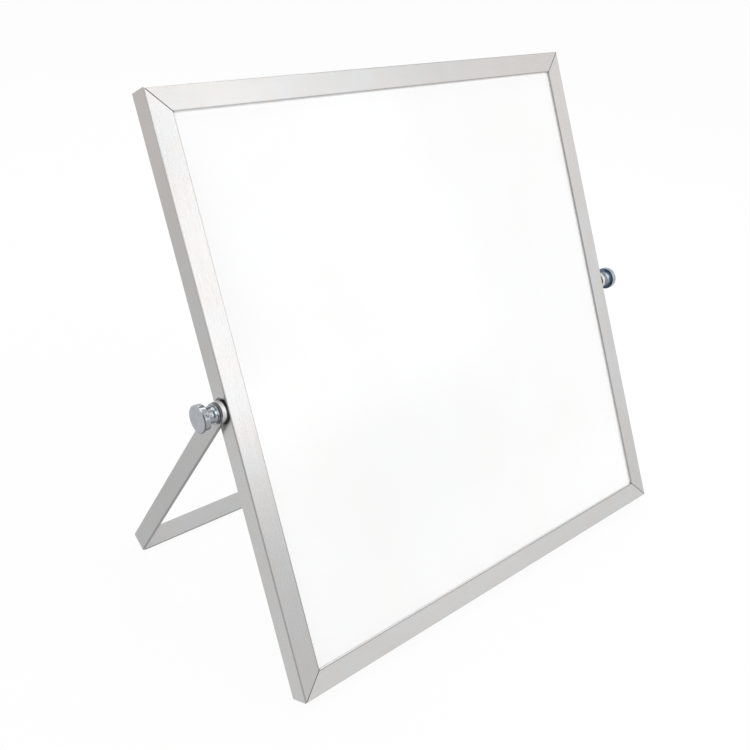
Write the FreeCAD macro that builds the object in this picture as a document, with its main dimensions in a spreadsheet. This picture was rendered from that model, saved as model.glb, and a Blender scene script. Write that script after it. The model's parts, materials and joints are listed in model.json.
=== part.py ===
import FreeCAD, Part
import os
import Sketcher

# A square magnetic desk whiteboard. Four mitred aluminium rails hold a board with a white steel
# sheet on each face, and a stand bent from flat strip is clamped to the side rails at mid height
# by two thumb screws, so that the board can be leaned, folded flat or spun round in its stand.
# Millimetres, Z up, X along the width. The writing face leans back and looks towards -Y.

DOC = FreeCAD.newDocument("desk_whiteboard")

# Driving sizes

DRIVING_SIZES = {
    # board and frame
    "board_width": 254.0,
    "board_height": 254.0,
    "rail_face": 10.4,
    "rail_depth": 9.9,
    "rail_outer_wall": 1.0,
    "rail_lip_wall": 1.0,
    "rail_web_wall": 0.9,
    "key_chamber": 4.0,
    "rail_corner_radius": 0.6,
    "lip_tip_radius": 0.3,
    "sheet_thickness": 0.4,
    "board_side_gap": 0.05,
    "board_edge_gap": 0.3,
    # corner keys
    "key_arm": 24.0,
    "key_gap": 0.1,
    "key_tip_chamfer": 0.8,
    "key_elbow_chamfer": 1.5,
    "key_elbow_radius": 0.25,
    # stand
    "strip_width": 9.0,
    "strip_thickness": 1.9,
    "strip_edge_chamfer": 0.2,
    "bend_radius": 2.4,
    "stand_reach": 132.0,
    "arm_tip_reach": 5.1,
    "arm_tip_radius_share": 0.98,
    "open_angle": 59.1,
    # clamping screws, washers and nuts
    "stud_radius": 1.95,
    "stud_tip_gap": 0.2,
    "stud_tip_chamfer": 0.5,
    "stud_hole_clearance": 0.1,
    "thread_clearance": 0.05,
    "neck_radius": 4.05,
    "neck_length": 4.3,
    "neck_end_chamfer": 0.35,
    "neck_root_chamfer": 0.4,
    "head_radius": 5.9,
    "head_thickness": 3.0,
    "head_rim_radius": 0.55,
    "head_back_chamfer": 0.3,
    "nut_side": 7.0,
    "nut_thickness": 2.2,
    "nut_corner_chamfer": 0.6,
    "spacer_radius": 4.6,
    "spacer_thickness": 0.9,
    "flat_washer_radius": 4.6,
    "flat_washer_thickness": 0.8,
    "flat_washer_chamfer": 0.15,
    "spring_washer_radius": 4.3,
    "spring_washer_thickness": 1.1,
    "spring_washer_split": 0.9,
    "spring_washer_slant": 20.0,
    "spring_washer_clearance": 0.15,
}

# Sizes that follow from them, in order

DERIVED_SIZES = {
    "half_width": "=board_width / 2",
    "half_height": "=board_height / 2",
    "half_depth": "=rail_depth / 2",
    "half_channel": "=half_depth - rail_lip_wall",
    "channel_floor": "=rail_outer_wall + key_chamber + rail_web_wall",
    "board_inset": "=channel_floor + board_edge_gap",
    "panel_width": "=board_width - 2 * board_inset",
    "panel_height": "=board_height - 2 * board_inset",
    "sheet_outer": "=half_channel - board_side_gap",
    "sheet_inner": "=sheet_outer - sheet_thickness",
    "key_near": "=rail_outer_wall + key_gap",
    "key_thickness": "=key_chamber - 2 * key_gap",
    "key_depth": "=2 * (half_channel - key_gap)",
    "stud_hole_radius": "=stud_radius + stud_hole_clearance",
    "arm_inner": "=half_width + spacer_thickness",
    "arm_outer": "=arm_inner + strip_thickness",
    "half_strip": "=strip_width / 2",
    "flat_washer_start": "=spacer_thickness + strip_thickness",
    "spring_washer_start": "=flat_washer_start + flat_washer_thickness",
    "neck_start": "=spring_washer_start + spring_washer_thickness",
    "head_start": "=neck_start + neck_length",
    "head_end": "=head_start + head_thickness",
    "stud_tip": "=stud_tip_gap - rail_outer_wall - key_chamber",
    # where the frame's bottom back edge and the bar's under side meet the desk
    "board_foot_drop": "=half_height - rail_corner_radius",
    "board_foot_back": "=half_depth - rail_corner_radius",
    "bar_foot_front": "=half_strip - strip_edge_chamfer",
    "level_cos": "=board_foot_drop - stand_reach * cos(open_angle) - bar_foot_front * sin(open_angle)",
    "level_sin": "=board_foot_back - stand_reach * sin(open_angle) + bar_foot_front * cos(open_angle)",
    "lean": "=atan2(level_sin; level_cos) + acos(-rail_corner_radius / hypot(level_cos; level_sin))",
    "stand_lean": "=open_angle * 1deg - lean",
    # the origin is under the middle of the whole object
    "pivot_up": "=board_foot_drop * cos(lean) + board_foot_back * sin(lean) + rail_corner_radius",
    "board_span": "=board_foot_drop * sin(lean) + board_foot_back * cos(lean) + rail_corner_radius",
    "bar_back_reach": "=stand_reach - strip_edge_chamfer",
    "stand_span": "=bar_back_reach * sin(stand_lean) + half_strip * cos(stand_lean)",
    "pivot_back": "=(board_span - max(board_span; stand_span)) / 2",
}

# How far a cut runs past what it cuts
OVERRUN = "Sizes.rail_depth"

# Edges are picked by their middles, to this share of the rail's depth
PICK_SHARE = 0.001

# Placements of the board and the stand about the screws' axis
PIVOT = "vector(0; Sizes.pivot_back; Sizes.pivot_up)"
BOARD = f"placement({PIVOT}; rotation(vector(1; 0; 0); -Sizes.lean))"
STAND = f"placement({PIVOT}; rotation(vector(1; 0; 0); Sizes.stand_lean))"


def fill_sheet():
    sheet = DOC.addObject("Spreadsheet::Sheet", "Sizes")
    rows = list(DRIVING_SIZES.items()) + list(DERIVED_SIZES.items())
    for row, (alias, content) in enumerate(rows, start=1):
        sheet.set(f"A{row}", alias)
        sheet.set(f"B{row}", str(content))
        sheet.setAlias(f"B{row}", alias)
    DOC.recompute()
    return sheet


SHEET = fill_sheet()


def size(expression):
    """The number that an expression of the sheet has now."""
    value = SHEET.evalExpression(expression)
    return float(getattr(value, "Value", value))


# Sketch and feature helpers


def new_body(name, placement):
    body = DOC.addObject("PartDesign::Body", name)
    body.Label = name
    body.setExpression("Placement", placement)
    return body


def new_sketch(body, name, plane, offset=None):
    sketch = body.newObject("Sketcher::SketchObject", f"{body.Label}_{name}")
    origin_plane = next(f for f in body.Origin.OriginFeatures if f.Role == plane)
    sketch.AttachmentSupport = [(origin_plane, "")]
    sketch.MapMode = "FlatFace"
    if offset:
        sketch.setExpression("AttachmentOffset.Base.z", offset)
    return sketch


def bind(sketch, kind, *where, to):
    index = sketch.addConstraint(Sketcher.Constraint(kind, *where, size(to)))
    sketch.setExpression(f"Constraints[{index}]", to)


def outline(sketch, points):
    """A closed outline of straight lines, with every corner bound to the sheet."""
    corners = [FreeCAD.Vector(size(x), size(y), 0) for x, y in points]
    first = sketch.GeometryCount
    for here, there in zip(corners, corners[1:] + corners[:1]):
        sketch.addGeometry(Part.LineSegment(here, there))
    for index, (x, y) in enumerate(points):
        line = first + index
        following = first + (index + 1) % len(points)
        sketch.addConstraint(Sketcher.Constraint("Coincident", line, 2, following, 1))
        bind(sketch, "DistanceX", -1, 1, line, 1, to=x)
        bind(sketch, "DistanceY", -1, 1, line, 1, to=y)


def circle(sketch, radius):
    ring = Part.Circle(FreeCAD.Vector(), FreeCAD.Vector(0, 0, 1), size(radius))
    index = sketch.addGeometry(ring)
    sketch.addConstraint(Sketcher.Constraint("Coincident", index, 3, -1, 1))
    bind(sketch, "Radius", index, to=radius)


def add_feature(body, kind, name, profile, **settings):
    feature = body.newObject(f"PartDesign::{kind}", f"{body.Label}_{name}")
    feature.Profile = profile
    for key, value in settings.items():
        setattr(feature, key, value)
    return feature


def pad(body, name, profile, length, midplane=False):
    feature = add_feature(body, "Pad", name, profile, Midplane=midplane)
    feature.setExpression("Length", length)
    return finish_feature(body, feature, 1)


def pocket(body, name, profile, length=None, reverse=False, midplane=False):
    feature = add_feature(body, "Pocket", name, profile, Midplane=midplane, Reversed=reverse)
    if length:
        feature.setExpression("Length", length)
    else:
        feature.Type = "ThroughAll"
    return finish_feature(body, feature, -1)


def dress(body, kind, name, radius, picked):
    """A fillet or chamfer on the edges whose middles the picked test accepts."""
    base = body.Tip
    edges = [f"Edge{i}" for i, edge in enumerate(base.Shape.Edges, start=1) if picked(edge)]
    if not edges:
        raise RuntimeError(f"{body.Label}_{name} found no edge")
    feature = body.newObject(f"PartDesign::{kind}", f"{body.Label}_{name}")
    feature.Base = (base, edges)
    feature.setExpression("Radius" if kind == "Fillet" else "Size", radius)
    return finish_feature(body, feature, 0)


def finish_feature(body, feature, change):
    """Recomputes, then checks that a pad added and a pocket removed material."""
    before = feature.BaseFeature.Shape.Volume if feature.BaseFeature else 0
    body.Tip = feature
    DOC.recompute()
    grown = feature.Shape.Volume - before
    if change * grown < 0 or grown == 0:
        raise RuntimeError(f"{feature.Name} changed the volume by {grown}")
    return feature


def near(value, target):
    return abs(value - target) < PICK_SHARE * size("Sizes.rail_depth")


def middle(edge):
    return edge.CenterOfMass


# Frame rails, each made as the bottom rail and turned to its side


def rail(name, length, half_other, turn, screw_hole):
    body = new_body(name, f"{BOARD} * placement(vector(0; 0; 0); rotation(vector(0; 1; 0); {turn}))")
    back, face = "Sizes.half_depth", f"Sizes.rail_face - {half_other}"
    channel, floor = "Sizes.half_channel", f"Sizes.channel_floor - {half_other}"
    wall = f"Sizes.rail_outer_wall - {half_other}"
    ceiling = f"Sizes.rail_outer_wall + Sizes.key_chamber - {half_other}"
    section = new_sketch(body, "section", "YZ_Plane")
    outline(
        section,
        [
            (f"-{back}", f"-{half_other}"),
            (back, f"-{half_other}"),
            (back, face),
            (channel, face),
            (channel, floor),
            (f"-{channel}", floor),
            (f"-{channel}", face),
            (f"-{back}", face),
        ],
    )
    outline(section, [(f"-{channel}", wall), (channel, wall), (channel, ceiling), (f"-{channel}", ceiling)])
    pad(body, "extrusion", section, length, midplane=True)
    outer, tip, depth = size(f"-{half_other}"), size(face), size(back)

    def outer_edge(edge):
        return near(middle(edge).z, outer) and near(abs(middle(edge).y), depth)

    def lip_edge(edge):
        return near(middle(edge).z, tip) and near(abs(middle(edge).y), depth)

    dress(body, "Fillet", "outer_rounding", "Sizes.rail_corner_radius", outer_edge)
    dress(body, "Fillet", "lip_rounding", "Sizes.lip_tip_radius", lip_edge)
    mitre = new_sketch(body, "mitre", "XZ_Plane")
    for sign in ("", "-"):
        outline(
            mitre,
            [
                (f"{sign}({length} / 2 + {OVERRUN})", f"-{half_other} - {OVERRUN}"),
                (f"{sign}({length} / 2 + {OVERRUN})", f"{face} + {OVERRUN}"),
                (f"{sign}({length} / 2 - Sizes.rail_face - {OVERRUN})", f"{face} + {OVERRUN}"),
            ],
        )
    pocket(body, "mitre_cuts", mitre, midplane=True)
    if screw_hole:
        hole = new_sketch(body, "screw_hole", "XY_Plane", offset=f"-{half_other}")
        circle(hole, "Sizes.stud_hole_radius")
        pocket(body, "screw_hole_cut", hole, length="Sizes.rail_outer_wall", reverse=True)
    return body


def frame_rails():
    rail("frame_bottom_rail", "Sizes.board_width", "Sizes.half_height", 0, False)
    rail("frame_top_rail", "Sizes.board_width", "Sizes.half_height", 180, False)
    rail("frame_left_rail", "Sizes.board_height", "Sizes.half_width", 90, True)
    rail("frame_right_rail", "Sizes.board_height", "Sizes.half_width", 270, True)


# Corner keys, L-shaped steel blocks pressed into the rails' inner chambers


def corner_key(name, across, up, turn):
    corner = f"placement(vector({across}; 0; {up}); rotation(vector(0; 1; 0); {turn}))"
    body = new_body(name, f"{BOARD} * {corner}")
    near_side, far_side = "Sizes.key_near", "Sizes.key_near + Sizes.key_thickness"
    end = "Sizes.key_near + Sizes.key_arm"
    shape = new_sketch(body, "shape", "XZ_Plane")
    outline(
        shape,
        [
            (near_side, near_side),
            (end, near_side),
            (end, far_side),
            (far_side, far_side),
            (far_side, end),
            (near_side, end),
        ],
    )
    pad(body, "block", shape, "Sizes.key_depth", midplane=True)
    near_place, far_place, end_place = size(near_side), size(far_side), size(end)

    def elbow_outside(edge):
        return near(middle(edge).x, near_place) and near(middle(edge).z, near_place)

    def elbow_inside(edge):
        return near(middle(edge).x, far_place) and near(middle(edge).z, far_place)

    def tip_edge(edge):
        reach = max(middle(edge).x, middle(edge).z)
        other = min(middle(edge).x, middle(edge).z)
        return near(reach, end_place) and (near(other, near_place) or near(other, far_place))

    dress(body, "Chamfer", "elbow_relief", "Sizes.key_elbow_chamfer", elbow_outside)
    dress(body, "Fillet", "elbow_rounding", "Sizes.key_elbow_radius", elbow_inside)
    dress(body, "Chamfer", "tip_lead", "Sizes.key_tip_chamfer", tip_edge)
    return body


def corner_keys():
    left, right = "-Sizes.half_width", "Sizes.half_width"
    bottom, top = "-Sizes.half_height", "Sizes.half_height"
    corner_key("corner_key_bottom_left", left, bottom, 0)
    corner_key("corner_key_top_left", left, top, 90)
    corner_key("corner_key_top_right", right, top, 180)
    corner_key("corner_key_bottom_right", right, bottom, 270)


# The board between the rails


def panel(name, front, thickness):
    box = DOC.addObject("Part::Box", name)
    box.Label = name
    box.setExpression("Length", "Sizes.panel_width")
    box.setExpression("Width", thickness)
    box.setExpression("Height", "Sizes.panel_height")
    corner = f"vector(-Sizes.panel_width / 2; {front}; -Sizes.panel_height / 2)"
    box.setExpression("Placement", f"{BOARD} * placement({corner}; rotation(vector(1; 0; 0); 0))")
    return box


def board_panels():
    panel("front_writing_sheet", "-Sizes.sheet_outer", "Sizes.sheet_thickness")
    panel("board_core", "-Sizes.sheet_inner", "2 * Sizes.sheet_inner")
    panel("back_writing_sheet", "Sizes.sheet_inner", "Sizes.sheet_thickness")


# The stand, one flat strip bent into a U with rounded, drilled arm ends


def stand():
    body = new_body("stand", STAND)
    inner, outer = "Sizes.arm_inner", "Sizes.arm_outer"
    tip, under = "Sizes.arm_tip_reach", "-Sizes.stand_reach"
    bar_top = "Sizes.strip_thickness - Sizes.stand_reach"
    shape = new_sketch(body, "shape", "XZ_Plane")
    outline(
        shape,
        [
            (f"-{outer}", under),
            (outer, under),
            (outer, tip),
            (inner, tip),
            (inner, bar_top),
            (f"-{inner}", bar_top),
            (f"-{inner}", tip),
            (f"-{outer}", tip),
        ],
    )
    pad(body, "strip", shape, "Sizes.strip_width", midplane=True)
    inner_place, outer_place = size(inner), size(outer)
    tip_place, under_place, bar_place = size(tip), size(under), size(bar_top)
    side_place = size("Sizes.half_strip")

    def inside_bend(edge):
        return near(middle(edge).z, bar_place) and near(abs(middle(edge).x), inner_place)

    def outside_bend(edge):
        return near(middle(edge).z, under_place) and near(abs(middle(edge).x), outer_place)

    def tip_corner(edge):
        return near(middle(edge).z, tip_place) and near(abs(middle(edge).y), side_place)

    def strip_edge(edge):
        return near(abs(middle(edge).y), side_place) and middle(edge).z < 0

    dress(body, "Fillet", "inside_bends", "Sizes.bend_radius", inside_bend)
    dress(body, "Fillet", "outside_bends", "Sizes.bend_radius + Sizes.strip_thickness", outside_bend)
    dress(body, "Fillet", "rounded_tips", "Sizes.half_strip * Sizes.arm_tip_radius_share", tip_corner)
    dress(body, "Chamfer", "strip_edges", "Sizes.strip_edge_chamfer", strip_edge)
    holes = new_sketch(body, "holes", "YZ_Plane")
    circle(holes, "Sizes.stud_hole_radius")
    pocket(body, "screw_holes", holes, midplane=True)
    return body


# Clamping parts at each side. They are made along +X from the frame's side face and turned to
# their side, in the order nut, frame wall, spacer, stand arm, flat washer, spring washer, screw.

SIDES = {
    "left": f"{BOARD} * placement(vector(-Sizes.half_width; 0; 0); rotation(vector(0; 0; 1); 180))",
    "right": f"{BOARD} * placement(vector(Sizes.half_width; 0; 0); rotation(vector(0; 0; 1); 0))",
}


def ring(body, outer_radius, inner_radius, start, thickness):
    section = new_sketch(body, "section", "YZ_Plane", offset=start)
    circle(section, outer_radius)
    circle(section, inner_radius)
    pad(body, "disc", section, thickness)


def round_edges(radius):
    """Picks the round edges of one radius."""
    value = size(radius)
    return lambda edge: isinstance(edge.Curve, Part.Circle) and near(edge.Curve.Radius, value)


def square_nut(side, placement):
    body = new_body(f"{side}_square_nut", placement)
    start = "-Sizes.rail_outer_wall - Sizes.nut_thickness"
    half = "Sizes.nut_side / 2"
    section = new_sketch(body, "section", "YZ_Plane", offset=start)
    outline(section, [(f"-{half}", f"-{half}"), (half, f"-{half}"), (half, half), (f"-{half}", half)])
    circle(section, "Sizes.stud_radius + Sizes.thread_clearance")
    pad(body, "block", section, "Sizes.nut_thickness")
    half_place = size(half)

    def corner_edge(edge):
        return near(abs(middle(edge).y), half_place) and near(abs(middle(edge).z), half_place)

    dress(body, "Chamfer", "corners", "Sizes.nut_corner_chamfer", corner_edge)
    return body


def spacer_washer(side, placement):
    body = new_body(f"{side}_spacer_washer", placement)
    ring(body, "Sizes.spacer_radius", "Sizes.stud_hole_radius", "0", "Sizes.spacer_thickness")
    return body


def flat_washer(side, placement):
    body = new_body(f"{side}_flat_washer", placement)
    start, thickness = "Sizes.flat_washer_start", "Sizes.flat_washer_thickness"
    ring(body, "Sizes.flat_washer_radius", "Sizes.stud_hole_radius", start, thickness)
    rim = round_edges("Sizes.flat_washer_radius")
    dress(body, "Chamfer", "rim_edges", "Sizes.flat_washer_chamfer", rim)
    return body


def spring_washer(side, placement):
    body = new_body(f"{side}_spring_washer", placement)
    start, thickness = "Sizes.spring_washer_start", "Sizes.spring_washer_thickness"
    bore = "Sizes.stud_radius + Sizes.spring_washer_clearance"
    ring(body, "Sizes.spring_washer_radius", bore, start, thickness)
    split = new_sketch(body, "split", "XY_Plane")
    near_face, far_face = f"{start} - {thickness}", f"{start} + 2 * {thickness}"
    half = "Sizes.spring_washer_split / 2"
    slant = f"1.5 * {thickness} * tan(Sizes.spring_washer_slant)"
    outline(
        split,
        [
            (near_face, f"-{half} - {slant}"),
            (near_face, f"{half} - {slant}"),
            (far_face, f"{half} + {slant}"),
            (far_face, f"-{half} + {slant}"),
        ],
    )
    pocket(body, "split_cut", split)
    return body


def thumb_screw(side, placement):
    body = new_body(f"{side}_thumb_screw", placement)
    stud, neck, head = "Sizes.stud_radius", "Sizes.neck_radius", "Sizes.head_radius"
    section = new_sketch(body, "section", "XY_Plane")
    outline(
        section,
        [
            ("Sizes.stud_tip", "0"),
            ("Sizes.stud_tip", f"{stud} - Sizes.stud_tip_chamfer"),
            ("Sizes.stud_tip + Sizes.stud_tip_chamfer", stud),
            ("Sizes.neck_start", stud),
            ("Sizes.neck_start", neck),
            ("Sizes.head_start", neck),
            ("Sizes.head_start", head),
            ("Sizes.head_end", head),
            ("Sizes.head_end", "0"),
        ],
    )
    turned = add_feature(body, "Revolution", "turned", section, ReferenceAxis=(section, ["H_Axis"]))
    finish_feature(body, turned, 1)
    neck_start, head_start, head_end = (
        size("Sizes.neck_start"),
        size("Sizes.head_start"),
        size("Sizes.head_end"),
    )
    on_neck, on_head = round_edges(neck), round_edges(head)
    steps = [
        ("Chamfer", "neck_end", "Sizes.neck_end_chamfer", on_neck, neck_start),
        ("Chamfer", "neck_root", "Sizes.neck_root_chamfer", on_neck, head_start),
        ("Chamfer", "head_back", "Sizes.head_back_chamfer", on_head, head_start),
        ("Fillet", "head_rim", "Sizes.head_rim_radius", on_head, head_end),
    ]
    for kind, name, radius, on_radius, along in steps:
        dress(body, kind, name, radius, lambda edge: on_radius(edge) and near(middle(edge).x, along))
    return body


def clamping_parts():
    for side, placement in SIDES.items():
        square_nut(side, placement)
        spacer_washer(side, placement)
        flat_washer(side, placement)
        spring_washer(side, placement)
        thumb_screw(side, placement)


# Checks and files


def check_document():
    for item in DOC.Objects:
        if "Invalid" in item.State or "Error" in item.State:
            raise RuntimeError(f"{item.Label} is {item.State}")


def sub_parts():
    return [o for o in DOC.Objects if o.TypeId in ("PartDesign::Body", "Part::Box")]


def write_pieces():
    os.makedirs("parts", exist_ok=True)
    for item in sub_parts():
        shape = item.Shape
        if shape.isNull() or not shape.isValid() or len(shape.Solids) != 1:
            raise RuntimeError(f"{item.Label} is not one valid solid")
        shape.exportStep(f"parts/{item.Label}.step")
        print(f"{item.Label}: {shape.Volume:.1f} mm3")


frame_rails()
corner_keys()
board_panels()
stand()
clamping_parts()
DOC.recompute()
check_document()
write_pieces()
for alias in ("lean", "stand_lean", "pivot_back", "pivot_up"):
    print(f"{alias} {size('Sizes.' + alias):.4f}")
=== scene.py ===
import json
import math
from types import SimpleNamespace

import bmesh
import bpy
from mathutils import Matrix, Vector


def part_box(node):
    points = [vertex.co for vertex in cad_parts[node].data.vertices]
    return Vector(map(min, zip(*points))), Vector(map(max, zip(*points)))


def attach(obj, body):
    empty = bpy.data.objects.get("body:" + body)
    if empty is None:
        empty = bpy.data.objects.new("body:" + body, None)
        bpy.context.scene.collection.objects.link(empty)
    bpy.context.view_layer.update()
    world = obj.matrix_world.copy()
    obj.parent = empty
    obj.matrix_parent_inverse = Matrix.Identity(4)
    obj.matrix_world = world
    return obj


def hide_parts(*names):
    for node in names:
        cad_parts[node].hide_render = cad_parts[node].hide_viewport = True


# A square magnetic whiteboard in a mitred aluminium frame, leaning on a desk in its bent strip
# stand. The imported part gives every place. This script turns detailed screws and washers in the
# places of the plain ones, gives each piece its finish, and sets the light and the camera.

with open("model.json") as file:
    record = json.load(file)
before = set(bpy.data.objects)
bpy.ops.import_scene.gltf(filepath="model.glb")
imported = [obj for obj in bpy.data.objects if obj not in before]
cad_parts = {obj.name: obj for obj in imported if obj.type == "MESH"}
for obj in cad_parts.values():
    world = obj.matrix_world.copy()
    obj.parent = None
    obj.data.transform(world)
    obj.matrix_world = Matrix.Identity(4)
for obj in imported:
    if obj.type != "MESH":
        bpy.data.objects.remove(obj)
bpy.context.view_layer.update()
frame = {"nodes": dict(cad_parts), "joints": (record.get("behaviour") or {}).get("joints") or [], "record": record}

MM = 0.001
FULL_TURN = 2 * math.pi

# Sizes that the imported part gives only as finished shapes

RAIL_FACE = 10.4 * MM
RAIL_HALF_DEPTH = 4.95 * MM
OPEN_ANGLE = math.radians(59.1)
STRIP_HALF_WIDTH = 4.5 * MM
HEAD_THICKNESS = 3.0 * MM
HEAD_RIM_RADIUS = 0.4 * MM
HEAD_BACK_RADIUS = 0.3 * MM
HEAD_CROWN = 0.12 * MM
HEAD_FLAT_SHARE = 0.87
NECK_RADIUS = 4.05 * MM
NECK_END_RADIUS = 0.15 * MM
NECK_WAIST_RADIUS = 3.5 * MM
NECK_WAIST_ROUNDING = 1.9 * MM
THREAD_PITCH = 0.7 * MM
THREAD_OUTER_RADIUS = 1.98 * MM
THREAD_CORE_RADIUS = 1.57 * MM
THREAD_ROOT_SINK = 0.1 * MM
THREAD_FLANK_SHARE = 0.42
STUD_TIP_CHAMFER = 0.5 * MM
STUD_HOLE_RADIUS = 2.05 * MM
FLAT_WASHER_ROUNDING = 0.15 * MM
SPRING_BORE_RADIUS = 2.1 * MM
SPRING_ROUNDING = 0.16 * MM
SPRING_SPLIT = 0.9 * MM
SPRING_SLANT = math.radians(20)
SPRING_SPLIT_TURN = math.radians(-90)
SHARP_ANGLE = math.radians(35)
TURNED_STEPS = 96
THREAD_STEPS = 48
ROUNDING_STEPS = 5
ROUND_PROFILE = 0.5
TOUCHING = 1e-6

# Where the board and the clamping parts stand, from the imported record

record = frame["record"]
joints = {joint["name"]: joint for joint in frame["joints"]}
mounts = {mount["name"]: mount for mount in record["mounts"]}
pivot = Vector(joints["stand_pivot"]["pos_m"])
board_up = Vector(mounts["top_edge"]["axis"])
lean = math.atan2(board_up.y, board_up.z)
half_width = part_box("frame_right_rail")[1].x
half_height = (Vector(mounts["top_edge"]["pos_m"]) - pivot).length
opening_half = half_width - RAIL_FACE
tilt = Matrix.Rotation(-lean, 4, "X")
SIDES = {
    "left": Matrix.Translation(pivot - Vector((half_width, 0, 0))) @ tilt @ Matrix.Rotation(math.pi, 4, "Z"),
    "right": Matrix.Translation(pivot + Vector((half_width, 0, 0))) @ tilt,
}


def along_screw(node):
    """Where a right-hand clamping part starts and ends, outwards from the frame's side face."""
    low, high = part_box(node)
    return low.x - half_width, high.x - half_width


def radius_of(node):
    low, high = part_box(node)
    return (high.z - low.z) / 2


stud_start, head_end = along_screw("right_thumb_screw")
head_start = head_end - HEAD_THICKNESS
head_radius = radius_of("right_thumb_screw")


# Node helpers


class Wire:
    """An output of a finish's node. Arithmetic on it adds Math nodes."""

    def __init__(self, finish, socket):
        self.finish = finish
        self.socket = socket

    def maths(self, operation, *values):
        return self.finish.node("ShaderNodeMath", {"operation": operation}, dict(enumerate(values)))

    def __add__(self, other):
        return self.maths("ADD", self, other)

    def __radd__(self, other):
        return self.maths("ADD", other, self)

    def __sub__(self, other):
        return self.maths("SUBTRACT", self, other)

    def __rsub__(self, other):
        return self.maths("SUBTRACT", other, self)

    def __mul__(self, other):
        return self.maths("MULTIPLY", self, other)

    def __rmul__(self, other):
        return self.maths("MULTIPLY", other, self)

    def __truediv__(self, other):
        return self.maths("DIVIDE", self, other)

    def __abs__(self):
        return self.maths("ABSOLUTE", self)

    def __pow__(self, other):
        return self.maths("POWER", self, other)

    def larger(self, other):
        return self.maths("MAXIMUM", self, other)


class Finish:
    """A material or world, and the one method that adds nodes to it."""

    def __init__(self, holder):
        self.holder = holder
        holder.use_nodes = True
        self.tree = holder.node_tree
        self.tree.nodes.clear()

    def node(self, kind, settings=None, inputs=None, output=0):
        node = self.tree.nodes.new(kind)
        for name, value in (settings or {}).items():
            setattr(node, name, value)
        for name, value in (inputs or {}).items():
            if isinstance(value, Wire):
                self.tree.links.new(value.socket, node.inputs[name])
            else:
                node.inputs[name].default_value = value
        return Wire(self, node.outputs[output]) if node.outputs else None

    def shader(self, **inputs):
        named = {name.replace("_", " "): value for name, value in inputs.items()}
        return self.node("ShaderNodeBsdfPrincipled", inputs=named)

    def surface(self, shader, kind="Material"):
        self.node(f"ShaderNodeOutput{kind}", inputs={"Surface": shader})
        return self.holder

    def place(self, location=(0, 0, 0), rotation=(0, 0, 0)):
        """The place on the piece in a frame that stands at a location, turned by a rotation."""
        coordinates = self.node("ShaderNodeTexCoord", output="Object")
        settings = {"vector_type": "TEXTURE"}
        inputs = {"Vector": coordinates, "Location": location, "Rotation": rotation}
        return self.node("ShaderNodeMapping", settings, inputs)

    def axes(self, vector):
        split = self.node("ShaderNodeSeparateXYZ", inputs={0: vector})
        return [Wire(self, socket) for socket in split.socket.node.outputs]

    def vector(self, x, y, z):
        return self.node("ShaderNodeCombineXYZ", inputs={0: x, 1: y, 2: z})

    def stretched(self, vector, repeats):
        return self.node("ShaderNodeVectorMath", {"operation": "MULTIPLY"}, {0: vector, 1: repeats})

    def noise(self, place, repeats, detail=2.0):
        """Noise about zero, from -1 to 1."""
        inputs = {"Vector": self.stretched(place, repeats), "Scale": 1.0, "Detail": detail}
        return self.node("ShaderNodeTexNoise", {"normalize": False}, inputs)

    def fade(self, value, start, end):
        """A smooth step from 0 at the start to 1 at the end."""
        inputs = {"Value": value, "From Min": start, "From Max": end}
        return self.node("ShaderNodeMapRange", {"interpolation_type": "SMOOTHSTEP"}, inputs)

    def steps(self, value, table):
        """A table's base plus its steps, each a change and the places in mm where it starts and is full."""
        total, *steps = table
        for change, start, end in steps:
            total = total + change * self.fade(value, start * MM, end * MM)
        return total

    def mix(self, share, first, second):
        """A mix of two colours, which are the Mix node's sockets 6 and 7."""
        inputs = {"Factor": share, 6: first, 7: second}
        return self.node("ShaderNodeMix", {"data_type": "RGBA"}, inputs, output=2)

    def blend(self, noise, colours, reach=0.5):
        """The first colour where the noise is low, and the second where it is high."""
        return self.mix(self.fade(noise, -reach, reach), *colours)

    def shade(self, colour, share):
        """A colour made lighter or darker by a share."""
        return self.node("ShaderNodeVectorMath", {"operation": "SCALE"}, {0: colour, "Scale": share})

    def bump(self, height, distance):
        return self.node("ShaderNodeBump", inputs={"Height": height, "Distance": distance, "Strength": 1.0})


def material(name):
    return Finish(bpy.data.materials.new(name))


# Finishes. A pair of lengths called a fade is where a mask starts and where it is full, and repeats
# are a noise's repeats in a metre along each axis.

BOARD_PLACE = {"location": tuple(pivot), "rotation": (-lean, 0, 0)}
PIVOT_PLACE = {"location": tuple(pivot)}
STRIP_PLACE = {"location": tuple(pivot), "rotation": (OPEN_ANGLE - lean, 0, 0)}

RAIL_COLOURS = ((0.530, 0.518, 0.506, 1), (0.516, 0.518, 0.520, 1))
# The side colour is painted shade: warmer and darker on the rails' outer side faces towards the top
SIDE_COLOUR = (0.524, 0.494, 0.476, 1)
# The top-right colour is a painted highlight, lighter towards the board's top right corner
TOP_RIGHT_HIGHLIGHT_COLOUR = (0.542, 0.519, 0.509, 1)
STRIP_COLOURS = ((0.500, 0.496, 0.488, 1), (0.488, 0.491, 0.493, 1))
SCREW_COLOURS = ((0.350, 0.372, 0.405, 1), (0.410, 0.430, 0.455, 1))
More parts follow.
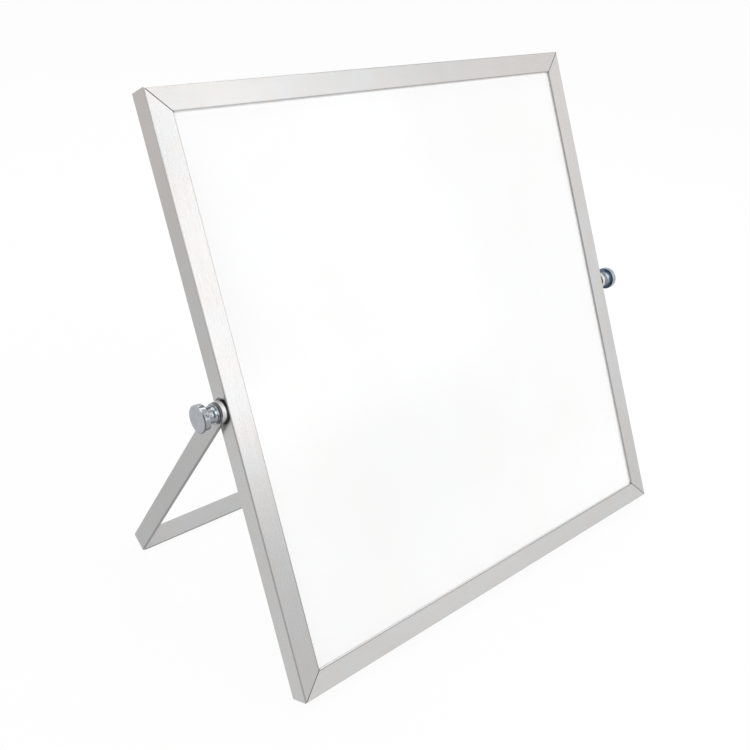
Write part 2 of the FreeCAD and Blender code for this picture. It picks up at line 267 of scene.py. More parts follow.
# The right screw's neck and head back colours are painted reflections: a blue tint on the neck and navy on the
# head's back
RIGHT_NECK_REFLECTION_COLOUR = (0.350, 0.400, 0.460, 1)
RIGHT_HEAD_BACK_REFLECTION_COLOUR = (0.260, 0.370, 0.530, 1)
WASHER_COLOURS = ((0.130, 0.137, 0.145, 1), (0.190, 0.198, 0.205, 1))
LACQUER_COLOURS = ((0.908, 0.908, 0.904, 1), (0.918, 0.920, 0.923, 1))
CORE_COLOURS = ((0.34, 0.24, 0.14, 1), (0.46, 0.34, 0.21, 1))
KEY_COLOURS = ((0.42, 0.43, 0.45, 1), (0.52, 0.53, 0.55, 1))
NYLON_COLOURS = ((0.016, 0.016, 0.017, 1), (0.028, 0.027, 0.026, 1))

# The looks of the rails that lie across, and of the upright ones; the lip keys place and weigh the painted shade
# line along each lip

ACROSS_LOOK = {
    "brush_repeats": (30, 2400, 2400),
    "groove_repeats": (60, 5000, 5000),
    "groove_depth": 0.009 * MM,
    "streak": 0.022,
    "rough": 0.34,
    "lip_inset": 0.4 * MM,
    "lip_fade": (0.45 * MM, 0.05 * MM),
    "lip_dark": 0.42,
}
UPRIGHT_LOOK = {
    "brush_repeats": (2400, 2400, 30),
    "groove_repeats": (5000, 5000, 60),
    "groove_depth": 0.001 * MM,
    "streak": 0.012,
    "rough": 0.28,
    "lip_inset": 0.2 * MM,
    "lip_fade": (0.5 * MM, 0.05 * MM),
    "lip_dark": 0.5,
}
RAIL_BLOTCH_REPEATS = (95, 95, 95)
BLOTCH = 0.02
STREAK_ROUGH = 0.05
SEAM_ROUGH = 0.3
SEAM_DARK = 0.85
SEAM_FADE = (0.4 * MM, 0.14 * MM)
FACE_FADE = (0.8 * MM, 1.6 * MM)
# Where the painted dark reflection on the rails' rounded outer edges lies
EDGE_FADE = (0.62 * MM, 0.42 * MM)
SIDE_FACE_FADE = (half_width - 0.3 * MM, half_width - 0.1 * MM)
SIDE_COLOUR_FADE = (40 * MM, 110 * MM)
TOP_RIGHT_FADE = (20 * MM, 100 * MM)
# Where and how much painted light lies on the lips' inner walls
LIP_WALL_FADE = (opening_half + 0.16 * MM, opening_half + 0.04 * MM)
LIP_WALL_DEPTH_FADE = (0.45 * MM, 0.8 * MM)
UPRIGHT_WALL_LIGHT = 1.1
BOTTOM_WALL_LIGHT = 0.25
TOP_WALL_LIGHT = 0.65
# A painted shadow ring on the rails' sides round the clamp, where the arm's tip shades them
SHADOW_RING_FADE = (5.9 * MM, 5.2 * MM)
SHADOW_RING_DARK = 0.7

# Painted highlight and shade along the rails, as changes of tone for Finish.steps, with the share of the painted
# lip shade and the painted dark reflection on the outer edges

TOP_CHANGE = (0.0, (0.05, 20, 90), (-0.1, -100, -40))
BOTTOM_CHANGE = (0.14, (-0.07, -40, 90))
LEFT_CHANGE = (-0.03, (0.16, -30, 35), (-0.104, 70, 110))
RIGHT_CHANGE = (0.0, (-0.02, -60, -20), (0.03, 40, 100))
SIDE_FACE_CHANGE = (0.0, (-0.11, -30, 35), (0.0715, 70, 110))
LEFT_LIP_CHANGE = (0.0, (-0.5, -80, -10))
RIGHT_LIP_CHANGE = (0.0, (-0.2, 10, -90))
ACROSS_EDGE_DARK = 0.03
UPRIGHT_EDGE_DARK = (0.1, (0.24, 70, -40))


def across_tones(finish, x, z):
    """Painted highlight and shade along the rail, the painted lip shade's share, painted light on the lip's wall
    and painted dark reflection on the edges, top and bottom.
    """
    top = finish.fade(z, -MM, MM)
    change = finish.steps(x, TOP_CHANGE) * top + finish.steps(x, BOTTOM_CHANGE) * (1 - top)
    wall_light = BOTTOM_WALL_LIGHT + (TOP_WALL_LIGHT - BOTTOM_WALL_LIGHT) * top
    return change, 1.0, wall_light, ACROSS_EDGE_DARK


def upright_tones(finish, x, y, z, side_face):
    """The same four for the left and right rails, with a painted shadow ring round the clamp on their sides."""
    left = finish.fade(x, 0.0, -MM)
    change = left * (1 - side_face) * finish.steps(z, LEFT_CHANGE)
    change = change + (1 - left) * finish.steps(z, RIGHT_CHANGE)
    change = change + side_face * finish.steps(z, SIDE_FACE_CHANGE)
    # Painted shadow ring on the side faces round the clamp
    painted_shadow_ring = finish.fade((y * y + z * z) ** 0.5, *SHADOW_RING_FADE) * side_face
    change = (1 + change) * (1 - SHADOW_RING_DARK * painted_shadow_ring) - 1
    lip_share = 1 + left * finish.steps(z, LEFT_LIP_CHANGE)
    lip_share = lip_share + (1 - left) * finish.steps(z, RIGHT_LIP_CHANGE)
    wall_light = UPRIGHT_WALL_LIGHT * finish.fade(RAIL_HALF_DEPTH - abs(y), *LIP_WALL_DEPTH_FADE)
    return change, lip_share, wall_light, finish.steps(z, UPRIGHT_EDGE_DARK)


def rail_aluminium(name, look, lies_across):
    """Satin aluminium brushed along the rail, dark in the mitres' seams, with painted shade along the lips,
    painted dark reflection along the outer edges and painted highlight and shade along the faces.
    """
    finish = material(name)
    place = finish.place(**BOARD_PLACE)
    x, y, z = finish.axes(place)
    across = z if lies_across else x
    streaks = finish.noise(place, look["brush_repeats"], detail=3.0)
    blotches = finish.noise(place, RAIL_BLOTCH_REPEATS)
    side_face = finish.fade(abs(x), *SIDE_FACE_FADE)
    top_right = finish.fade(x, *TOP_RIGHT_FADE) * finish.fade(z, *TOP_RIGHT_FADE)
    colour = finish.blend(blotches, RAIL_COLOURS)
    # Painted shade: the outer side faces take the warmer, darker side colour towards the top
    colour = finish.mix(side_face * finish.fade(z, *SIDE_COLOUR_FADE), colour, SIDE_COLOUR)
    # Painted highlight: lighter towards the board's top right corner
    colour = finish.mix(top_right, colour, TOP_RIGHT_HIGHLIGHT_COLOUR)
    from_side, from_end = half_width - abs(x), half_height - abs(z)
    on_face = finish.fade(from_side + from_end, *FACE_FADE)
    seam = finish.fade(abs(from_side - from_end), *SEAM_FADE) * on_face
    # Painted shade: a dark line on the rail along the lip, where it overhangs the sheet
    lip = finish.fade(abs(abs(across) - opening_half - look["lip_inset"]), *look["lip_fade"])
    # Painted light on the lip's inner wall
    lip_wall = finish.fade(abs(across), *LIP_WALL_FADE)
    # Painted dark reflection along the rails' rounded outer edges, stronger low on the upright rails
    edge = finish.fade((half_width - abs(across)) + (RAIL_HALF_DEPTH - abs(y)), *EDGE_FADE)
    tones = across_tones(finish, x, z) if lies_across else upright_tones(finish, x, y, z, side_face)
    change, lip_share, wall_light, edge_dark = tones
    # Painted highlight and shade along the rails scale the level
    level = (1 + look["streak"] * streaks + BLOTCH * blotches) * (1 + change)
    level = level * (1 - SEAM_DARK * seam) * (1 - look["lip_dark"] * lip_share * lip)
    level = level * (1 - edge_dark * edge) * (1 + wall_light * lip_wall)
    rough = look["rough"] + STREAK_ROUGH * streaks + SEAM_ROUGH * seam
    normal = finish.bump(finish.noise(place, look["groove_repeats"], detail=1.0), look["groove_depth"])
    return finish.surface(
        finish.shader(Base_Color=finish.shade(colour, level), Metallic=1.0, Roughness=rough, Normal=normal)
    )


STRIP_GRAIN_REPEATS = (1500, 1500, 300)
STRIP_BLOTCH_REPEATS = (110, 110, 110)
STRIP_GRAIN = 0.03
STRIP_ROUGH = 0.46
STRIP_GRAIN_ROUGH = 0.05
# Painted shade on the strip's straight edges, left off at the arm tips
STRIP_EDGE_SHADE_FADE = (STRIP_HALF_WIDTH - 0.25 * MM, STRIP_HALF_WIDTH - 0.05 * MM)
STRIP_EDGE_SHADE = 0.45
TIP_FADE = (4.1 * MM, 4.3 * MM)
TIP_HALF_FADE = (-1 * MM, 1 * MM)
# Painted highlight on the arm tips, painted light on the bar and painted shade down the arms
TIP_LIGHT = 0.3
BAR_FADE = (-128 * MM, -130 * MM)
BAR_LIGHT = 0.13
ARM_CHANGE = (0.0, (-0.055, -10, -70))


def strip_aluminium():
    """The stand's plainer strip, with the fine grain of rolled metal, painted shade on its straight edges and down
    the arms, painted light on the bar and a painted highlight on the arm tips.
    """
    finish = material("strip_aluminium")
    place = finish.place(**STRIP_PLACE)
    _, across, along = finish.axes(place)
    grain = finish.noise(place, STRIP_GRAIN_REPEATS, detail=3.0)
    blotches = finish.noise(place, STRIP_BLOTCH_REPEATS)
    # Painted shade on the straight edges
    edge_shade = finish.fade(abs(across), *STRIP_EDGE_SHADE_FADE)
    from_screw = (across * across + along * along) ** 0.5
    tip = finish.fade(from_screw, *TIP_FADE) * finish.fade(along, *TIP_HALF_FADE)
    bar = finish.fade(along, *BAR_FADE)
    level = (1 + STRIP_GRAIN * grain + BLOTCH * blotches) * (1 - STRIP_EDGE_SHADE * edge_shade * (1 - tip))
    # Painted shade down the arms, painted light on the bar and a painted highlight on the arm tips
    level = level * (1 + finish.steps(along, ARM_CHANGE) * (1 - bar))
    level = level * (1 + BAR_LIGHT * bar) * (1 + TIP_LIGHT * tip)
    colour = finish.shade(finish.blend(blotches, STRIP_COLOURS), level)
    rough = STRIP_ROUGH + STRIP_GRAIN_ROUGH * grain
    return finish.surface(finish.shader(Base_Color=colour, Metallic=1.0, Roughness=rough))


# Painted highlights and painted shade on the clamping parts, as soft ovals, each with its side (-1 is
# left), its place outwards in mm and round the screw, its reach in both, and its change of tone. They
# lie on the half that looks forwards and upwards by their rise.

SCREW_HIGHLIGHTS_AND_SHADE = (
    (-1, 5.55, 0.54, 0.65, 0.2, 1.4),
    (-1, 6.6, 0.0, 0.35, 0.15, 0.8),
    (-1, 4.8, 0.03, 0.65, 0.22, 1.8),
    (-1, 4.9, -0.42, 0.3, 0.1, 0.9),
    (-1, 5.95, -0.06, 0.45, 0.42, -0.8),
    (-1, 8.5, -0.05, 0.8, 0.35, -0.35),
    (-1, 10.5, 0.02, 2.0, 0.22, -0.46),
    (-1, 10.5, -0.75, 2.0, 0.5, -0.2),
    (-1, 11.7, 0.5, 0.4, 0.12, 1.1),
    (1, 7.8, 0.25, 0.8, 0.5, 1.5),
    (1, 7.8, -0.55, 0.8, 0.3, 0.5),
)
WASHER_HIGHLIGHTS_AND_SHADE = (
    (-1, 4.3, 0.8, 0.9, 0.5, 1.5),
    (-1, 4.55, 0.0, 0.3, 0.25, 2.5),
    (-1, 3.0, 0.0, 0.6, 0.6, -0.4),
)
PAINTED_SPOT_FADE = (1.3, 0.5)
PAINTED_HALF_RISE = math.radians(36.4)
PAINTED_HALF_FADE = (0.0, 0.3)
PLATING_REPEATS = (420, 420, 420)
RIGHT_FADE = (0.0, MM)
# Painted light on the right washers
RIGHT_WASHER_LIGHT = 0.6
WASHER_ROUGH = 0.3
WASHER_CLOUD_ROUGH = 0.04
NECK_FADE = (4.3 * MM, 4.1 * MM)
NECK_END_FADE = (head_start + 0.2 * MM, head_start)
# Painted shade on the left screw's neck and on the heads' backs
LEFT_NECK_DARK = 0.25
HEAD_BACK_FADE = (4.1 * MM, 4.3 * MM)
HEAD_BACK_END_FADE = (head_start + 0.3 * MM, head_start)
HEAD_BACK_DARK = 0.6
HEAD_FACE_FADE = (5.7 * MM, 5.5 * MM)
HEAD_FACE_END_FADE = (head_end - 0.5 * MM, head_end - 0.3 * MM)
# Painted dark reflection in the rounding between the head's face and rim
HEAD_EDGE_FADE = (0.7 * MM, 0.45 * MM)
RIGHT_CREASE_DARK = 0.4
LEFT_CREASE_DARK = 0.6
LEFT_CREASE_FADE = (0.35, 0.05)
LATHE_REPEATS = (3200, 3200, 3200)
LATHE_DEPTH = 0.003 * MM
SCREW_ROUGH = 0.12
SCREW_CLOUD_ROUGH = 0.03
RIGHT_NECK_ROUGH = 0.4


def around_screws(finish, place):
    """Where a spot lies on a clamping part: its side, radius, place outwards and place round the screw.

    The place round the screw runs from -1 to 1 over the half that has the painted highlights and shade, where that
    half's mask is 1.
    """
    x, y, z = finish.axes(place)
    radius = (y * y + z * z) ** 0.5
    sine, cosine = math.sin(PAINTED_HALF_RISE), math.cos(PAINTED_HALF_RISE)
    return SimpleNamespace(
        x=x,
        right=finish.fade(x, *RIGHT_FADE),
        radius=radius,
        out=abs(x) - half_width,
        turn=(y * sine + z * cosine) / radius,
        painted_half=finish.fade((z * sine - y * cosine) / radius, *PAINTED_HALF_FADE),
    )


def add_painted_light(finish, level, spot, where, painted_spots):
    """The level changed by the painted highlights and painted shade where they are wanted."""
    for side, out_middle, turn_middle, out_reach, turn_reach, change in painted_spots:
        outwards = (spot.out - out_middle * MM) / (out_reach * MM)
        round_about = (spot.turn - turn_middle) / turn_reach
        distance = (outwards * outwards + round_about * round_about) ** 0.5
        on_side = finish.fade(spot.x, 0.0, side * MM)
        level = level * (1 + change * finish.fade(distance, *PAINTED_SPOT_FADE) * where * on_side)
    return level


def washer_steel():
    """Duller zinc on the stamped washers, with painted light on the right ones and painted highlights and shade on
    the left ones.
    """
    finish = material("washer_zinc")
    place = finish.place(**PIVOT_PLACE)
    spot = around_screws(finish, place)
    plating = finish.noise(place, PLATING_REPEATS, detail=3.0)
    # Painted light on the right washers, and painted highlights and shade on the left ones
    level = add_painted_light(finish, 1 + RIGHT_WASHER_LIGHT * spot.right, spot, spot.painted_half, WASHER_HIGHLIGHTS_AND_SHADE)
    colour = finish.shade(finish.blend(plating, WASHER_COLOURS), level)
    rough = WASHER_ROUGH + WASHER_CLOUD_ROUGH * plating
    return finish.surface(finish.shader(Base_Color=colour, Metallic=1.0, Roughness=rough))


def screw_steel():
    """Polished zinc on the turned screws, with the lathe's rings, the uneven tones of the plating, and painted
    highlights, painted shade and painted reflections.
    """
    finish = material("screw_zinc")
    place = finish.place(**PIVOT_PLACE)
    spot = around_screws(finish, place)
    on_neck = finish.fade(spot.radius, *NECK_FADE) * finish.fade(spot.out, *NECK_END_FADE)
    on_back = finish.fade(spot.radius, *HEAD_BACK_FADE) * finish.fade(spot.out, *HEAD_BACK_END_FADE)
    on_face = finish.fade(spot.radius, *HEAD_FACE_FADE) * finish.fade(spot.out, *HEAD_FACE_END_FADE)
    # Painted dark reflection in the rim rounding, fading out towards the top on the left screw
    edge = finish.fade((head_end - spot.out) + (head_radius - spot.radius), *HEAD_EDGE_FADE)
    left_crease = LEFT_CREASE_DARK * finish.fade(spot.turn, *LEFT_CREASE_FADE)
    crease = edge * (spot.right * RIGHT_CREASE_DARK + (1 - spot.right) * left_crease)
    # Painted shade on the left neck and on the heads' backs
    level = (1 - crease) * (1 - LEFT_NECK_DARK * on_neck * (1 - spot.right)) * (1 - HEAD_BACK_DARK * on_back)
    # Painted highlights and painted shade in soft ovals on the forward, upper half
    level = add_painted_light(finish, level, spot, spot.painted_half * (1 - on_face), SCREW_HIGHLIGHTS_AND_SHADE)
    plating = finish.noise(place, PLATING_REPEATS, detail=3.0)
    colour = finish.blend(plating, SCREW_COLOURS, reach=1.0)
    # Painted reflection colours on the right screw's neck and head back
    colour = finish.mix(spot.right * on_neck, colour, RIGHT_NECK_REFLECTION_COLOUR)
    colour = finish.mix(spot.right * on_back, colour, RIGHT_HEAD_BACK_REFLECTION_COLOUR)
    rings = finish.noise(finish.vector(0.0, spot.radius, spot.x), LATHE_REPEATS)
    rough = SCREW_ROUGH + SCREW_CLOUD_ROUGH * plating + RIGHT_NECK_ROUGH * spot.right * on_neck
    normal = finish.bump(rings, LATHE_DEPTH)
    return finish.surface(
        finish.shader(Base_Color=finish.shade(colour, level), Metallic=1.0, Roughness=rough, Normal=normal)
    )


RIPPLE_REPEATS = (260, 260, 260)
RIPPLE_DEPTH = 0.01 * MM
RIPPLE_ROUGH = 0.02
LACQUER_CLOUD_REPEATS = (18, 18, 18)
LACQUER_CLOUD_REACH = 0.6
LACQUER_ROUGH = 0.16
# Painted light on the sheets near the left and bottom rails and by the lips
NEAR_RAIL_FADE = (-50 * MM, -118 * MM)
NEAR_LEFT_SHARE = (1.0, (-0.8, 0, 90))
NEAR_RAIL_LIGHT = 0.03
BY_LIP_FADE = (opening_half - 2.5 * MM, opening_half)
BY_LIP_LIGHT = 0.06


def white_lacquer():
    """Glossy white lacquer on the steel writing sheets, with a faint ripple and painted light by the rails and
    lips, against their shade.
    """
    finish = material("white_lacquer")
    place = finish.place(**BOARD_PLACE)
    x, _, z = finish.axes(place)
    ripple = finish.noise(place, RIPPLE_REPEATS)
    colour = finish.blend(finish.noise(place, LACQUER_CLOUD_REPEATS), LACQUER_COLOURS, LACQUER_CLOUD_REACH)
    # Painted light near the left and bottom rails and by the lips
    near_left = finish.fade(x, *NEAR_RAIL_FADE) * finish.steps(z, NEAR_LEFT_SHARE)
    near_rail = near_left.larger(finish.fade(z, *NEAR_RAIL_FADE))
    by_lip = finish.fade(abs(x).larger(abs(z)), *BY_LIP_FADE)
    colour = finish.shade(colour, 1 + NEAR_RAIL_LIGHT * near_rail + BY_LIP_LIGHT * by_lip)
    rough = LACQUER_ROUGH + RIPPLE_ROUGH * ripple
    normal = finish.bump(ripple, RIPPLE_DEPTH)
    return finish.surface(finish.shader(Base_Color=colour, Roughness=rough, Normal=normal))


FIBRE_REPEATS = (700, 2500, 700)
FIBRE_DEPTH = 0.05 * MM
FIBRE_ROUGH = 0.05
CORE_ROUGH = 0.85
KEY_SCALE_REPEATS = (900, 900, 900)
KEY_SCALE_ROUGH = 0.06
KEY_ROUGH = 0.45
NYLON_GRAIN_REPEATS = (2500, 2500, 2500)
NYLON_GRAIN_DEPTH = 0.01 * MM
NYLON_GRAIN_ROUGH = 0.05
NYLON_ROUGH = 0.5


def core_board():
    """Raw fibreboard, which only its edges inside the rails would show."""
    finish = material("core_board")
    fibres = finish.noise(finish.place(**BOARD_PLACE), FIBRE_REPEATS, detail=4.0)
    colour = finish.blend(fibres, CORE_COLOURS)
    rough = CORE_ROUGH + FIBRE_ROUGH * fibres
    normal = finish.bump(fibres, FIBRE_DEPTH)
    return finish.surface(finish.shader(Base_Color=colour, Roughness=rough, Normal=normal))


def key_steel():
    """Plain zinc-coated steel of the hidden corner keys and nuts."""
    finish = material("key_steel")
    scale = finish.noise(finish.place(**BOARD_PLACE), KEY_SCALE_REPEATS, detail=3.0)
    colour = finish.blend(scale, KEY_COLOURS)
    rough = KEY_ROUGH + KEY_SCALE_ROUGH * scale
    return finish.surface(finish.shader(Base_Color=colour, Metallic=1.0, Roughness=rough))


def black_nylon():
    """Moulded black nylon of the spacers."""
    finish = material("black_nylon")
    grain = finish.noise(finish.place(**PIVOT_PLACE), NYLON_GRAIN_REPEATS)
    colour = finish.blend(grain, NYLON_COLOURS)
    rough = NYLON_ROUGH + NYLON_GRAIN_ROUGH * grain
    normal = finish.bump(grain, NYLON_GRAIN_DEPTH)
    return finish.surface(finish.shader(Base_Color=colour, Roughness=rough, Normal=normal))


def dress(node, finish):
    for slot in frame["nodes"][node].material_slots:
        slot.material = finish


def dress_nodes():
    across = rail_aluminium("rail_aluminium_across", ACROSS_LOOK, lies_across=True)
    upright = rail_aluminium("rail_aluminium_upright", UPRIGHT_LOOK, lies_across=False)
    dress("frame_top_rail", across)
    dress("frame_bottom_rail", across)
    dress("frame_left_rail", upright)
    dress("frame_right_rail", upright)
    lacquer = white_lacquer()
    dress("front_writing_sheet", lacquer)
    dress("back_writing_sheet", lacquer)
    dress("board_core", core_board())
    dress("stand", strip_aluminium())
    keys = key_steel()
    for corner in ("bottom_left", "top_left", "top_right", "bottom_right"):
        dress(f"corner_key_{corner}", keys)
    nylon = black_nylon()
    for side in SIDES:
        dress(f"{side}_spacer_washer", nylon)
        dress(f"{side}_square_nut", keys)


def piece_in_scene(name, mesh, finish):
    """A piece with its finish from a bmesh, which is freed."""
    data = bpy.data.meshes.new(name)
    mesh.to_mesh(data)
    mesh.free()
    data.materials.append(finish)
    piece = bpy.data.objects.new(name, data)
    bpy.context.scene.collection.objects.link(piece)
    return piece


# Turned pieces, made along +X from the frame's side face


def spin_outline(points, closed):
    """A piece turned about the X axis from an outline of (along, radius) points."""
    mesh = bmesh.new()
    corners = [mesh.verts.new((along, radius, 0)) for along, radius in points]
    pairs = list(zip(corners, corners[1:]))
    if closed:
        pairs.append((corners[-1], corners[0]))
    edges = [mesh.edges.new(pair) for pair in pairs]
    bmesh.ops.spin(
        mesh,
        geom=corners + edges,
        cent=(0, 0, 0),
        axis=(1, 0, 0),
        angle=FULL_TURN,
        steps=TURNED_STEPS,
        use_merge=True,
    )
    bmesh.ops.remove_doubles(mesh, verts=mesh.verts, dist=TOUCHING)
    bmesh.ops.recalc_face_normals(mesh, faces=mesh.faces)
    return mesh


def from_axis(vertex):
    return math.hypot(vertex.co.y, vertex.co.z)


def round_ring(mesh, along, radius, rounding):
    """Rounds the turned piece's ring edge at that place and radius."""

    def on_ring(vertex):
        return abs(vertex.co.x - along) < TOUCHING and abs(from_axis(vertex) - radius) < TOUCHING

    edges = [edge for edge in mesh.edges if all(on_ring(vertex) for vertex in edge.verts)]
    bmesh.ops.bevel(
        mesh,
        geom=edges,
        offset=rounding,
        segments=ROUNDING_STEPS,
        profile=ROUND_PROFILE,
        affect="EDGES",
        material=-1,
    )


def finished_piece(name, mesh, side, finish, node, body):
    """Puts a clamping part in its place at one side, instead of its plain node."""
    mesh.transform(SIDES[side])
    piece = piece_in_scene(name, mesh, finish)
    piece.data.shade_smooth()
    piece.data.set_sharp_from_angle(angle=SHARP_ANGLE)
    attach(piece, body)
    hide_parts(node)


def add_thread(mesh, start, end):
    """A helical ridge on the stud, one turn for each pitch."""
    half = THREAD_FLANK_SHARE * THREAD_PITCH
    root = THREAD_CORE_RADIUS - THREAD_ROOT_SINK
    points = [(start - half, root), (start, THREAD_OUTER_RADIUS), (start + half, root)]
    corners = [mesh.verts.new((along, radius, 0)) for along, radius in points]
    edges = [mesh.edges.new(pair) for pair in zip(corners, corners[1:] + corners[:1])]
    first_end = mesh.faces.new(corners)
    turns = (end - start) / THREAD_PITCH
    steps = round(turns * THREAD_STEPS)
    bmesh.ops.spin(
        mesh,
        geom=[first_end] + edges + corners,
        cent=(0, 0, 0),
        axis=(1, 0, 0),
        dvec=((end - start) / steps, 0, 0),
        angle=FULL_TURN * turns,
        steps=steps,
    )


def thumb_screw(side, finish):
    neck_start = along_screw("right_spring_washer")[1]
    waist = (neck_start + head_start) / 2
    core, tip = THREAD_CORE_RADIUS, stud_start + STUD_TIP_CHAMFER
    rim = head_end - HEAD_CROWN
    mesh = spin_outline(
        [
            (stud_start, 0),
            (stud_start, core - STUD_TIP_CHAMFER),
            (tip, core),
            (neck_start, core),
            (neck_start, NECK_RADIUS),
            (waist, NECK_WAIST_RADIUS),
            (head_start, NECK_RADIUS),
            (head_start, head_radius),
            (rim, head_radius),
            (head_end - HEAD_CROWN * HEAD_FLAT_SHARE, head_radius * HEAD_FLAT_SHARE),
            (head_end, 0),
        ],
        closed=False,
    )
    round_ring(mesh, neck_start, NECK_RADIUS, NECK_END_RADIUS)
    round_ring(mesh, waist, NECK_WAIST_RADIUS, NECK_WAIST_ROUNDING)
    round_ring(mesh, head_start, head_radius, HEAD_BACK_RADIUS)
    round_ring(mesh, rim, head_radius, HEAD_RIM_RADIUS)
    add_thread(mesh, tip, neck_start - THREAD_PITCH)
    name = f"{side}_thumb_screw_turned"
    finished_piece(name, mesh, side, finish, f"{side}_thumb_screw", f"{side}_screw")


def flat_washer(side, finish):
    low, high = along_screw("right_flat_washer")
    outer = radius_of("right_flat_washer")
    ring = [(low, STUD_HOLE_RADIUS), (low, outer), (high, outer), (high, STUD_HOLE_RADIUS)]
    mesh = spin_outline(ring, closed=True)
    round_ring(mesh, low, outer, FLAT_WASHER_ROUNDING)
    round_ring(mesh, high, outer, FLAT_WASHER_ROUNDING)
    name = f"{side}_flat_washer_stamped"
    finished_piece(name, mesh, side, finish, f"{side}_flat_washer", f"{side}_washers")


def spring_washer(side, finish):
    """A ring of rounded square wire with a slanted split."""
    low, high = along_screw("right_spring_washer")
    outer = radius_of("right_spring_washer")
    middle_radius = (outer + SPRING_BORE_RADIUS) / 2
    mesh = bmesh.new()
    points = [(low, SPRING_BORE_RADIUS), (low, outer), (high, outer), (high, SPRING_BORE_RADIUS)]
    corners = [mesh.verts.new((along, radius, 0)) for along, radius in points]
    mesh.faces.new(corners)
    bmesh.ops.bevel(
        mesh,
        geom=corners,
        offset=SPRING_ROUNDING,
        segments=ROUNDING_STEPS,
        profile=ROUND_PROFILE,
        affect="VERTICES",
        material=-1,
    )
    split = SPRING_SPLIT / middle_radius
    start_turn = Matrix.Rotation(SPRING_SPLIT_TURN + split / 2, 3, "X")
    bmesh.ops.rotate(mesh, verts=mesh.verts, cent=(0, 0, 0), matrix=start_turn)
    bmesh.ops.spin(
        mesh,
        geom=list(mesh.faces) + list(mesh.edges) + list(mesh.verts),
        cent=(0, 0, 0),
        axis=(1, 0, 0),
        angle=FULL_TURN - split,
        steps=TURNED_STEPS,
    )
    middle_place = (low + high) / 2
    for vertex in mesh.verts:
        turn = (vertex.co.x - middle_place) * math.tan(SPRING_SLANT) / middle_radius
        vertex.co.rotate(Matrix.Rotation(turn, 3, "X"))
    bmesh.ops.recalc_face_normals(mesh, faces=mesh.faces)
    name = f"{side}_spring_washer_split"
    finished_piece(name, mesh, side, finish, f"{side}_spring_washer", f"{side}_washers")


def clamping_parts():
    screw_zinc, washer_zinc = screw_steel(), washer_steel()
    for side in SIDES:
        thumb_screw(side, screw_zinc)
        flat_washer(side, washer_zinc)
        spring_washer(side, washer_zinc)


# Studio: floor, lamps, surroundings and camera

FLOOR_SIZE = 12.0
FLOOR_COLOUR = (0.93, 0.93, 0.93)
FLOOR_GRAIN_REPEATS = (40, 40, 40)
FLOOR_GRAIN = 0.004
FLOOR_WHITE_SHARE = 0.92
LAMP_BAR_COLOUR = (0.02, 0.02, 0.022)
LAMP_BAR_WEAVE_REPEATS = (300, 300, 300)
LAMP_BAR_WEAVE = 0.3
SURROUNDINGS_LIGHT = 1.0

# Places and sizes in metres, and powers in watts

BOARD_MIDDLE = (0, 0, 0.115)
LEFT_SCREW = (-0.133, 0, 0.115)
LAMPS = {
    "key_lamp": {"place": (0.46, -0.80, 0.71), "aim": BOARD_MIDDLE, "size": (0.8, 0.87), "power": 2.5},
    "rear_lamp": {"place": (0.38, 0.50, 0.95), "aim": (0, 0.05, 0.05), "size": (0.6, 0.6), "power": 2.0},
    "side_lamp": {"place": (1.05, -0.60, 0.42), "aim": BOARD_MIDDLE, "size": (0.7, 0.8), "power": 0.25},
    "camera_lamp": {"place": (-0.40, -0.64, 0.68), "aim": LEFT_SCREW, "size": (0.14, 0.14), "power": 0.3},
    "top_lamp": {"place": (-0.45, 0.30, 0.90), "aim": LEFT_SCREW, "size": (0.12, 0.12), "power": 0.22},
}
LAMP_BAR = {"place": (0.31, -0.63, 0.588), "aim": (-0.133, -0.005, 0.115), "size": (0.06, 0.45)}


def seen_directly(finish):
    """1 for what the camera sees, or metal and glass mirror, and 0 for the light that falls on things."""
    path = finish.node("ShaderNodeLightPath").socket.node
    camera_ray, glossy_ray, through_ray = (
        Wire(finish, path.outputs[f"Is {kind} Ray"]) for kind in ("Camera", "Glossy", "Transmission")
    )
    return camera_ray.larger(glossy_ray).larger(through_ray)


def facing(place, aim):
    """Turns -Z from a place towards an aim."""
    return (Vector(aim) - Vector(place)).to_track_quat("-Z", "Y")


def lamp_bar(place, aim, size):
    """The black bar down the middle of the large lamp, which only the polished metal mirrors."""
    mesh = bmesh.new()
    width, length = size
    bmesh.ops.create_grid(mesh, x_segments=1, y_segments=1, size=width / 2)
    bmesh.ops.scale(mesh, vec=(1, length / width, 1), verts=mesh.verts)
    mesh.transform(Matrix.Translation(place) @ facing(place, aim).to_matrix().to_4x4())
    finish = material("lamp_bar_black")
    weave = finish.noise(finish.place(), LAMP_BAR_WEAVE_REPEATS)
    colour = finish.shade(LAMP_BAR_COLOUR, 1 + LAMP_BAR_WEAVE * weave)
    finish.surface(finish.node("ShaderNodeBsdfDiffuse", inputs={"Color": colour}))
    piece = piece_in_scene("lamp_bar", mesh, finish.holder)
    piece.visible_camera = False
    piece.visible_diffuse = False
    piece.visible_shadow = False


def floor():
    mesh = bmesh.new()
    bmesh.ops.create_grid(mesh, x_segments=2, y_segments=2, size=FLOOR_SIZE / 2)
    finish = material("floor_white")
    grain = finish.noise(finish.place(), FLOOR_GRAIN_REPEATS)
    colour = finish.shade(FLOOR_COLOUR, 1 + FLOOR_GRAIN * grain)
    lit = finish.node("ShaderNodeBsdfDiffuse", inputs={"Color": colour})
    white = finish.node("ShaderNodeEmission", inputs={"Strength": 1.0})
    share = seen_directly(finish) * FLOOR_WHITE_SHARE
    finish.surface(finish.node("ShaderNodeMixShader", inputs={0: share, 1: lit, 2: white}))
    piece = piece_in_scene("floor", mesh, finish.holder)


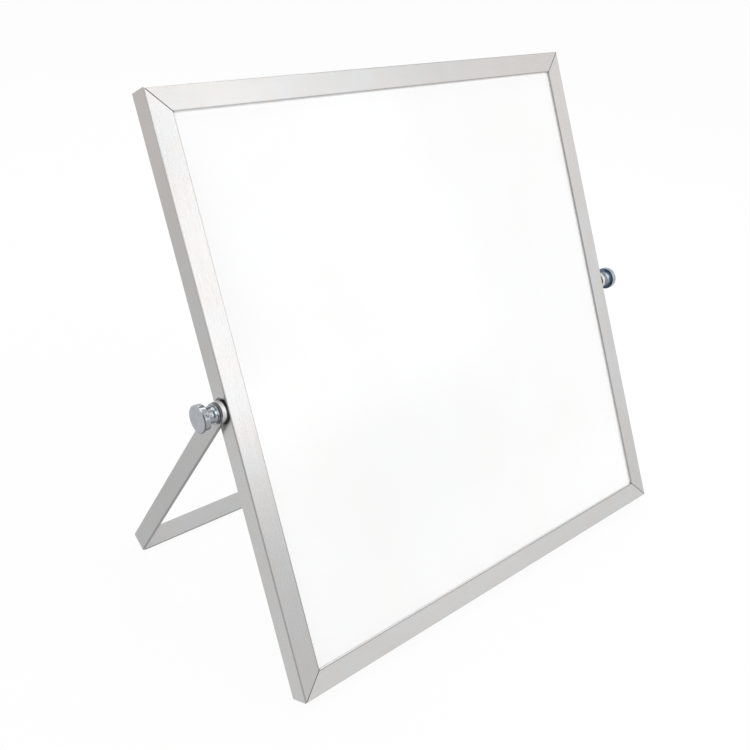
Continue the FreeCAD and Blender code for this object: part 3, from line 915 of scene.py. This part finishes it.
def surroundings():
    world = bpy.data.worlds.new("surroundings")
    finish = Finish(world)
    light = finish.node("ShaderNodeBackground", inputs={"Strength": SURROUNDINGS_LIGHT})
    white = finish.node("ShaderNodeBackground", inputs={"Color": (1, 1, 1, 1), "Strength": 1.0})
    shader = finish.node("ShaderNodeMixShader", inputs={0: seen_directly(finish), 1: light, 2: white})
    finish.surface(shader, "World")
    bpy.context.scene.world = world


def lamp(name, place, aim, size, power):
    data = bpy.data.lights.new(name, "AREA")
    data.shape = "RECTANGLE"
    data.size, data.size_y = size
    data.energy = power
    piece = bpy.data.objects.new(name, data)
    piece.location = place
    piece.rotation_euler = facing(place, aim).to_euler()
    bpy.context.scene.collection.objects.link(piece)


# The camera as it was fitted to the photo's lines, with places in metres and the sensor in mm

CAMERA_PLACE = (-0.30704, -0.26279, 0.30465)
CAMERA_HEADING = math.radians(43.473)
CAMERA_DIP = math.radians(29.283)
CAMERA_ROLL = math.radians(4.949)
PHOTO_SIDE = 750
FOCAL_PIXELS = 912.3
CENTRE_PIXELS = (341.72, 387.24)
SENSOR_WIDTH = 36.0
NEAREST_SEEN = 0.01


def camera():
    data = bpy.data.cameras.new("camera")
    data.sensor_width = SENSOR_WIDTH
    data.lens = SENSOR_WIDTH * FOCAL_PIXELS / PHOTO_SIDE
    data.shift_x = (PHOTO_SIDE / 2 - CENTRE_PIXELS[0]) / PHOTO_SIDE
    data.shift_y = (CENTRE_PIXELS[1] - PHOTO_SIDE / 2) / PHOTO_SIDE
    data.clip_start = NEAREST_SEEN
    piece = bpy.data.objects.new("camera", data)
    heading = Matrix.Rotation(-CAMERA_HEADING, 4, "Z")
    dip = Matrix.Rotation(math.pi / 2 - CAMERA_DIP, 4, "X")
    roll = Matrix.Rotation(CAMERA_ROLL, 4, "Z")
    piece.matrix_world = Matrix.Translation(CAMERA_PLACE) @ heading @ dip @ roll
    bpy.context.scene.collection.objects.link(piece)
    bpy.context.scene.camera = piece


dress_nodes()
clamping_parts()
floor()
surroundings()
for lamp_name, look in LAMPS.items():
    lamp(lamp_name, **look)
lamp_bar(**LAMP_BAR)
camera()
bpy.context.scene.view_settings.view_transform = "Standard"
